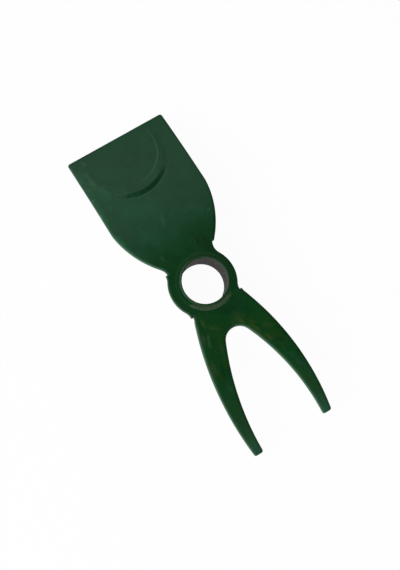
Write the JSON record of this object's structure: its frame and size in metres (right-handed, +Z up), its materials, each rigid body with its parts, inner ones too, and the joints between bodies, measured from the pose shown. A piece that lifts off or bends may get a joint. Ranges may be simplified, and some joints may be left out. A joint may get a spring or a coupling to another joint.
{
  "type": "combination hoe head",
  "caption": "Flat steel garden tool head with a wide hoe blade at one end, a fork at the other and a round handle eye between them, painted green.",
  "frame": {"origin": "on the eye's axis, at the lower end of the eye collar, which is also the bottom centre of the head's box", "axes": "+Z up along the eye's axis, towards the face that the blade's panel rises from; +Y towards the blade's cutting edge; X across the head"},
  "size_m": [0.0848, 0.265, 0.026],
  "materials": {
    "green_paint": "glossy dark green paint, lightly worn",
    "bare_steel": "dull bare steel in the bore",
    "painted_weld": "dull olive-brown, dressed weld under thin paint"
  },
  "bodies": {
    "root": {"head_plate": "green_paint", "eye_collar": "bare_steel", "upper_weld_bead": "painted_weld", "lower_weld_bead": "painted_weld"}
  },
  "joints": []
}
